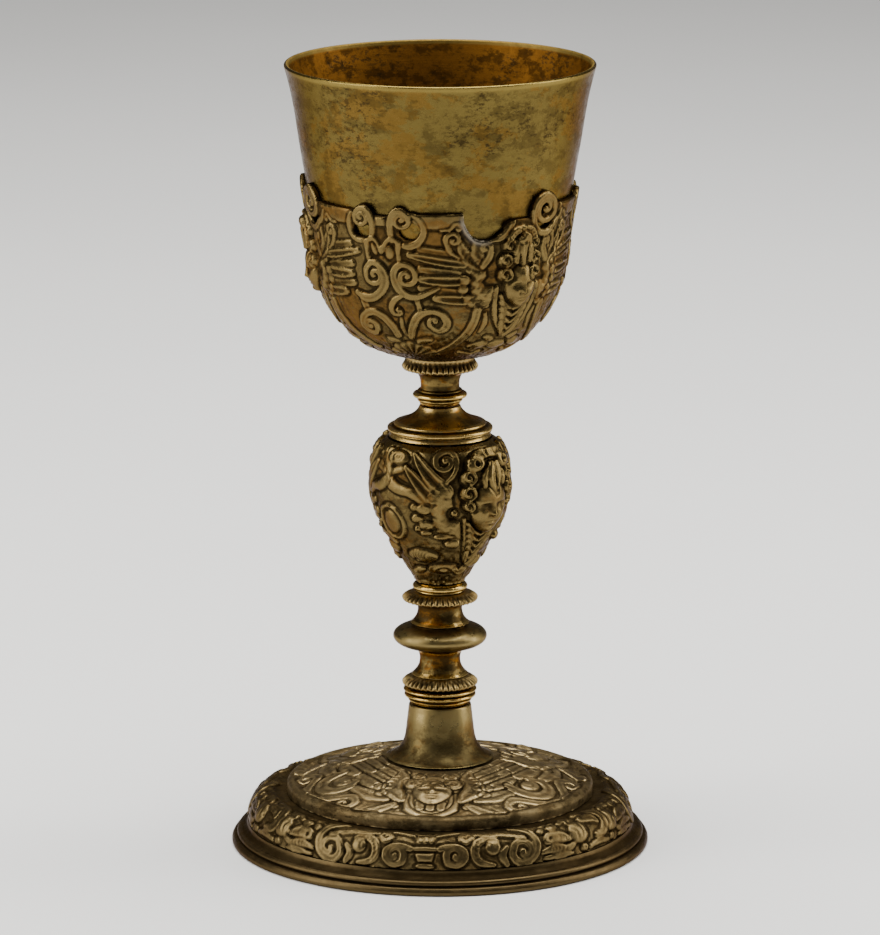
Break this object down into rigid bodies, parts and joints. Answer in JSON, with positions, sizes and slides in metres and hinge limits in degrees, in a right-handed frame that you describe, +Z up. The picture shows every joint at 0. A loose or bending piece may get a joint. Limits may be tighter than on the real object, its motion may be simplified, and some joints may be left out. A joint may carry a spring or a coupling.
{
  "type": "communion chalice",
  "caption": "Baroque communion chalice: flared gilt cup in a pierced calyx, turned stem with a chased vase knop, and a round domed foot held by a tie rod and nut.",
  "frame": {"origin": "centre of the flat face that the foot stands on", "axes": "+Z up along the tie rod, from the foot to the cup's mouth; +X to the right and -Y towards the viewer, with a cherub's head of the foot facing -Y"},
  "size_m": [0.122, 0.122, 0.23],
  "materials": {
    "gilt_cup": "smooth raised sheet, gilt and burnished, worn to mottled brown-gold outside and bright gold inside",
    "gilt_cast": "cast and chased, gilt, with dark tarnish in the matted ground and bright worn high points",
    "gilt_turned": "turned and burnished, gilt, warm and reflective with dark lines in the grooves",
    "gilt_foot": "raised and chased sheet, gilt, duller and browner than the cup, dark in the recesses",
    "wrought_iron": "forged, filed and lightly rusted"
  },
  "bodies": {
    "root": {"cup": "gilt_cup", "cup_boss": "gilt_turned", "calyx": "gilt_cast", "calyx_collar": "gilt_turned", "upper_spool": "gilt_turned", "knop_cap": "gilt_turned", "knop_body": "gilt_cast", "knop_base_ring": "gilt_turned", "upper_gadroon_collar": "gilt_turned", "upper_reel": "gilt_turned", "ring_knop": "gilt_turned", "lower_reel": "gilt_turned", "lower_gadroon_collar": "gilt_turned", "stem_ring": "gilt_turned", "foot_trumpet": "gilt_turned", "foot_dome": "gilt_foot", "foot_border": "gilt_foot", "base_rim": "gilt_foot", "tie_rod": "wrought_iron", "bearing_disc": "wrought_iron", "washer": "wrought_iron", "retaining_nut": "wrought_iron"}
  },
  "joints": []
}
